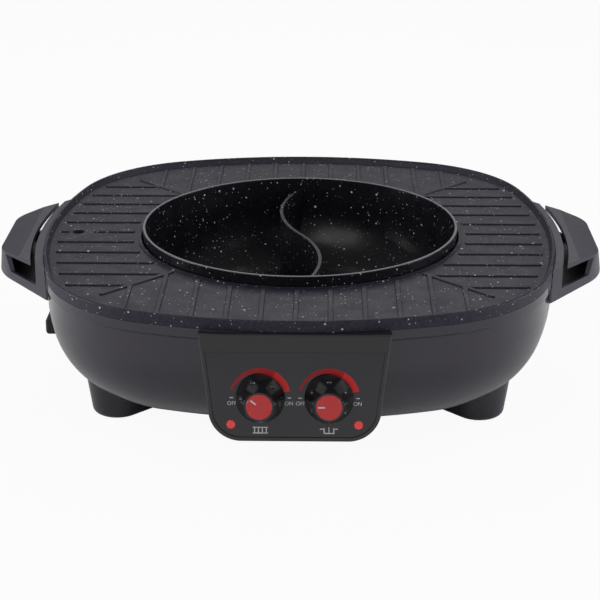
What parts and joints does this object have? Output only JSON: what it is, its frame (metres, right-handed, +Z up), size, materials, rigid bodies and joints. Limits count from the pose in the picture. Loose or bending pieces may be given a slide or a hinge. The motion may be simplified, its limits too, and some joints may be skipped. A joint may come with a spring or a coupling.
{
  "type": "electric grill and divided hot pot",
  "caption": "Countertop electric hot pot with an S-shaped divider, set in a ribbed square grill plate on a heated base with dials, side handles and a grease tray.",
  "frame": {"origin": "on the surface that the feet stand on, at the centre of the overall width and depth", "axes": "+X along the width, to the right as the control panel is faced; +Y to the back; +Z up"},
  "size_m": [0.497, 0.459, 0.127],
  "materials": {
    "bowl": "glossy moulded, grey with a violet cast",
    "cover": "satin powder coat",
    "steel": "plated",
    "panel_box": "satin moulded hood with glossy sides",
    "fascia": "polished blue-black",
    "lamp": "clear red",
    "plate_coating": "satin non-stick with fine pale specks",
    "pot_coating": "glossy non-stick with fine pale specks",
    "heater": "oxidised steel tube",
    "reflector": "bright pressed sheet",
    "tray": "black moulded",
    "connector": "black moulded",
    "contact": "polished",
    "wire": "heat-proof sleeve",
    "handle": "satin moulded, grey with a violet cast",
    "knob": "polished black",
    "cap": "glossy red with a white pointer",
    "switch_body": "fired, unglazed",
    "foot": "satin moulded",
    "pad": "matt"
  },
  "bodies": {
    "base": {"base_housing": "bowl", "bottom_cover": "cover", "bottom_screws": "steel", "foot_screws": "steel", "control_box": "panel_box", "control_fascia": "fascia", "spindle_nuts": "steel", "neon_lamps": "lamp", "pot_heater": "heater", "pot_trivet": "reflector", "grill_heater": "heater", "heater_clips": "steel", "reflector_pan": "reflector", "thermal_cutout": "switch_body", "drain_tube": "reflector", "tray_sleeve": "tray", "power_inlet": "connector", "inlet_pins": "contact", "inlet_screws": "steel", "terminal_block": "switch_body", "mains_wires": "wire", "heater_wires": "wire", "control_wires": "wire", "handle_screws": "steel", "handle_left": "handle", "handle_base_left": "connector", "thermostat_left": "switch_body", "indicator_lens_left": "lamp", "handle_right": "handle", "handle_base_right": "connector", "thermostat_right": "switch_body", "indicator_lens_right": "lamp", "foot_front_left": "foot", "foot_pad_front_left": "pad", "foot_rear_left": "foot", "foot_pad_rear_left": "pad", "foot_front_right": "foot", "foot_pad_front_right": "pad", "foot_rear_right": "foot", "foot_pad_rear_right": "pad"},
    "grill_plate": {"grill_plate": "plate_coating"},
    "inner_pot": {"inner_pot": "pot_coating", "pot_divider": "pot_coating"},
    "drip_tray": {"drip_tray": "tray"},
    "knob_left": {"knob_left": "knob", "knob_cap_left": "cap", "spindle_left": "steel"},
    "knob_right": {"knob_right": "knob", "knob_cap_right": "cap", "spindle_right": "steel"}
  },
  "joints": [
    {"name": "knob_left_turn", "type": "hinge", "parent": "base", "child": "knob_left", "pos_m": [-0.0247, -0.20495, 0.06739], "axis": [0, -0.9903, 0.1392], "range_deg": [-141, 39]},
    {"name": "knob_right_turn", "type": "hinge", "parent": "base", "child": "knob_right", "pos_m": [0.0247, -0.20495, 0.06739], "axis": [0, -0.9903, 0.1392], "range_deg": [-180, 0]},
    {"name": "pot_lift", "type": "slide", "parent": "base", "child": "inner_pot", "axis": [0, 0, 1], "range_m": [0, 0.12]},
    {"name": "grill_plate_lift", "type": "slide", "parent": "base", "child": "grill_plate", "axis": [0, 0, 1], "range_m": [0, 0.06]},
    {"name": "drip_tray_slide", "type": "slide", "parent": "base", "child": "drip_tray", "axis": [-1, 0, 0], "range_m": [0, 0.07]}
  ]
}
